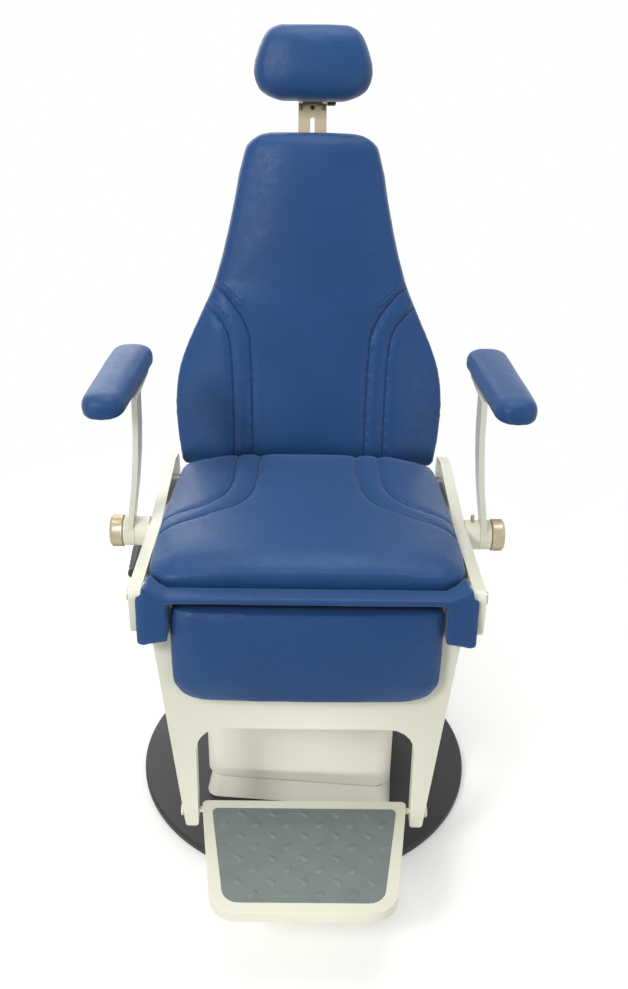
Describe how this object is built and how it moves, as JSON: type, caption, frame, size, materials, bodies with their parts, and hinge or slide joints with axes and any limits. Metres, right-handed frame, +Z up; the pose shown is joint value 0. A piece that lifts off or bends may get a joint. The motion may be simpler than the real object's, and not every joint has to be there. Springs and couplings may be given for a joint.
{
  "type": "ear nose and throat examination chair",
  "caption": "Motorised examination chair with lift column, swivel seat, reclining back linked to a rising leg rest, folding footplate, flip-back armrests and sliding, tilting headrest.",
  "frame": {"origin": "on the floor under the centre of the round base, on the lift and swivel axis", "axes": "+Z up, the sitter faces -Y, +X to the right of someone who faces the chair"},
  "size_m": [0.6608, 0.9247, 1.3013],
  "materials": {
    "blue_vinyl": "blue leatherette, fine grain, satin",
    "cream_paint": "cream powder coat, satin",
    "cover_abs": "warm grey-white moulding",
    "black_paint": "near-black paint, satin",
    "tread_rubber": "grey tread mat with a raised diamond pattern",
    "black_plastic": "black plastic",
    "black_rubber": "black rubber",
    "steel": "bare machined steel",
    "nickel": "champagne-tinted plated steel",
    "birch_ply": "plywood"
  },
  "bodies": {
    "base": {"base_mat": "black_rubber", "base_plate": "black_paint", "base_plinth": "cover_abs", "cable_gland": "black_plastic", "lower_cover": "cover_abs", "guide_tube": "steel", "lift_cylinder": "steel", "lift_motor": "black_paint"},
    "lift": {"upper_cover": "cover_abs", "head_plate": "steel", "sliding_tube": "steel", "lift_rod": "steel", "swivel_race_lower": "steel"},
    "seat": {"swivel_race_upper": "steel", "seat_chassis": "black_paint", "seat_board": "birch_ply", "seat_cushion": "blue_vinyl", "side_frame_left": "cream_paint", "side_frame_right": "cream_paint", "legrest_pin_left": "nickel", "legrest_pin_right": "nickel", "arm_hub_left": "cream_paint", "arm_hub_right": "cream_paint", "arm_stop_pin": "nickel", "recline_actuator": "black_paint"},
    "recline_rod": {"actuator_rod": "steel"},
    "backrest": {"recline_shaft": "steel", "link_crank": "steel", "actuator_crank": "steel", "backrest_arm_left": "cream_paint", "backrest_arm_right": "cream_paint", "back_cushion": "blue_vinyl", "backrest_board": "birch_ply", "rear_cover": "cream_paint", "headrest_guide": "steel"},
    "clamp_knob": {"headrest_clamp_knob": "black_plastic"},
    "headrest_post": {"headrest_stem": "nickel"},
    "headrest": {"headrest_bracket": "steel", "head_pad": "blue_vinyl"},
    "lock_knob": {"headrest_lock_knob": "black_plastic"},
    "legrest": {"leg_frame": "cream_paint", "legrest_crank": "steel", "calf_pad": "blue_vinyl", "legrest_apron": "blue_vinyl", "footplate_pin_left": "cream_paint", "footplate_pin_right": "cream_paint"},
    "link": {"link_rod": "steel"},
    "footplate": {"footplate_tray": "cream_paint", "footplate_mat": "tread_rubber"},
    "arm_left": {"arm_post_left": "cream_paint", "arm_pad_left": "blue_vinyl"},
    "arm_right": {"arm_post_right": "cream_paint", "arm_pad_right": "blue_vinyl"},
    "arm_knob_left": {"arm_knob_left": "nickel"},
    "arm_knob_right": {"arm_knob_right": "nickel"},
    "lock_lever": {"lock_lever": "steel", "lock_grip": "black_plastic"}
  },
  "joints": [
    {"name": "lift", "type": "slide", "parent": "base", "child": "lift", "axis": [0, 0, 1], "range_m": [0, 0.2]},
    {"name": "swivel", "type": "hinge", "parent": "lift", "child": "seat", "pos_m": [0, 0, 0.41], "axis": [0, 0, 1], "range_deg": [-170, 170]},
    {"name": "recline", "type": "hinge", "parent": "seat", "child": "backrest", "pos_m": [0, 0.185, 0.515], "axis": [-1, 0, 0], "range_deg": [0, 70]},
    {"name": "legrest_rise", "type": "hinge", "parent": "seat", "child": "legrest", "pos_m": [0, -0.272, 0.555], "axis": [-1, 0, 0], "range_deg": [0, 70]},
    {"name": "link_pivot", "type": "hinge", "parent": "legrest", "child": "link", "pos_m": [0.187, -0.23185, 0.49766], "axis": [-1, 0, 0], "range_deg": [-70, 0]},
    {"name": "actuator_slide", "type": "slide", "parent": "seat", "child": "recline_rod", "axis": [0, -1, 0], "range_m": [0, 0.0804]},
    {"name": "headrest_height", "type": "slide", "parent": "backrest", "child": "headrest_post", "axis": [0, 0.225, 0.9744], "range_m": [-0.015, 0.1]},
    {"name": "headrest_tilt", "type": "hinge", "parent": "headrest_post", "child": "headrest", "pos_m": [0, 0.39156, 1.17854], "axis": [-1, 0, 0], "range_deg": [-10, 40]},
    {"name": "headrest_lock", "type": "hinge", "parent": "headrest_post", "child": "lock_knob", "pos_m": [0, 0.39156, 1.17854], "axis": [1, 0, 0], "continuous": true},
    {"name": "headrest_clamp", "type": "hinge", "parent": "backrest", "child": "clamp_knob", "pos_m": [0, 0.31277, 1.06844], "axis": [0, 0.9744, -0.225], "continuous": true},
    {"name": "footplate_fold", "type": "hinge", "parent": "legrest", "child": "footplate", "pos_m": [0, -0.28575, 0.13962], "axis": [-1, 0, 0], "range_deg": [0, 80]},
    {"name": "arm_flip_left", "type": "hinge", "parent": "seat", "child": "arm_left", "pos_m": [-0.3, -0.05, 0.537], "axis": [-1, 0, 0], "range_deg": [0, 90]},
    {"name": "arm_flip_right", "type": "hinge", "parent": "seat", "child": "arm_right", "pos_m": [0.3, -0.05, 0.537], "axis": [-1, 0, 0], "range_deg": [0, 90]},
    {"name": "arm_lock_left", "type": "hinge", "parent": "arm_left", "child": "arm_knob_left", "pos_m": [-0.32, -0.05, 0.537], "axis": [-1, 0, 0], "continuous": true},
    {"name": "arm_lock_right", "type": "hinge", "parent": "arm_right", "child": "arm_knob_right", "pos_m": [0.32, -0.05, 0.537], "axis": [1, 0, 0], "continuous": true},
    {"name": "swivel_lock", "type": "hinge", "parent": "seat", "child": "lock_lever", "pos_m": [-0.13, 0.05, 0.438], "axis": [1, 0, 0], "range_deg": [0, 20]}
  ],
  "couplings": [
    {"joint": "legrest_rise", "follows": "recline", "ratio": 1},
    {"joint": "link_pivot", "follows": "recline", "ratio": -1},
    {"joint": "actuator_slide", "follows": "recline", "m_per_rad": 0.065727}
  ]
}
